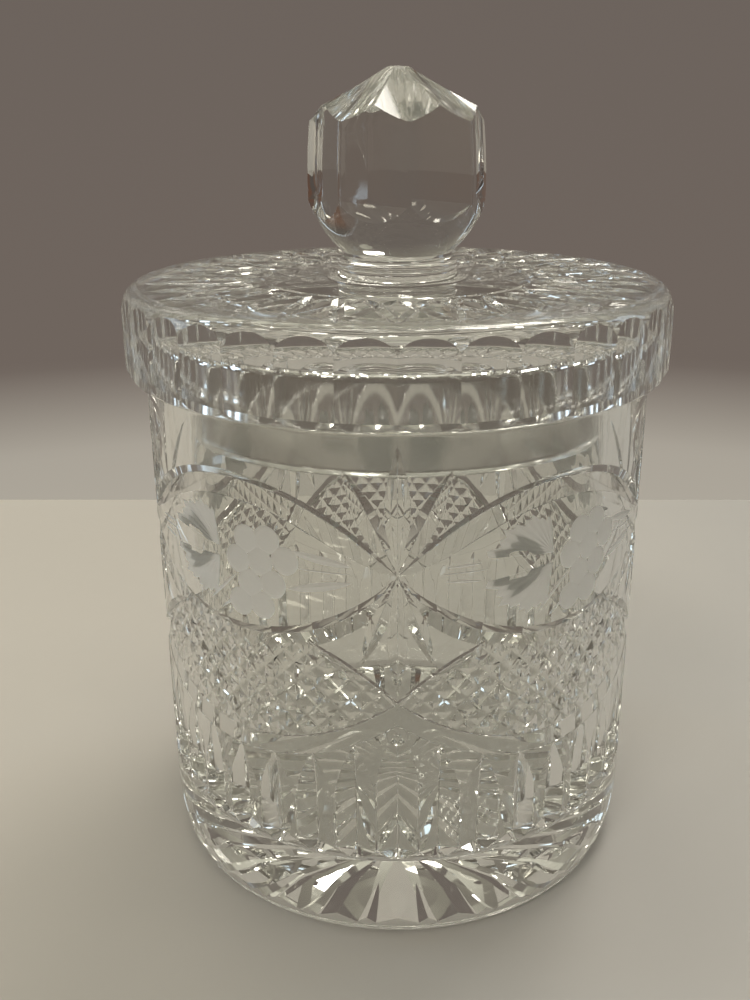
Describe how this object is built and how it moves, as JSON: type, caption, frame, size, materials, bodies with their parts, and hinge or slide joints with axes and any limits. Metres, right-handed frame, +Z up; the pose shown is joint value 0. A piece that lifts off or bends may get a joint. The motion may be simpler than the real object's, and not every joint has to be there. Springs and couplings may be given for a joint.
{
  "type": "biscuit jar",
  "caption": "Cylindrical cut-glass biscuit jar with a thick star-cut foot and a loose flat lid that drops in on a locating ring and lifts by a faceted knob.",
  "frame": {"origin": "middle of the foot, on the surface that the jar stands on", "axes": "+Z up along the jar's axis; -Y faces the viewer, with a point between two panels at the front"},
  "size_m": [0.1434, 0.144, 0.2116],
  "materials": {
    "jar_crystal": "polished clear crystal, wheel-cut, with matt engraved panels",
    "lid_crystal": "polished clear crystal, wheel-cut",
    "knob_crystal": "polished clear crystal, faceted"
  },
  "bodies": {
    "jar": {"jar": "jar_crystal"},
    "lid": {"lid": "lid_crystal", "knob_collar": "knob_crystal", "knob": "knob_crystal"}
  },
  "joints": [
    {"name": "lid_lift", "type": "slide", "parent": "jar", "child": "lid", "axis": [0, 0, 1], "range_m": [0, 0.06]}
  ]
}
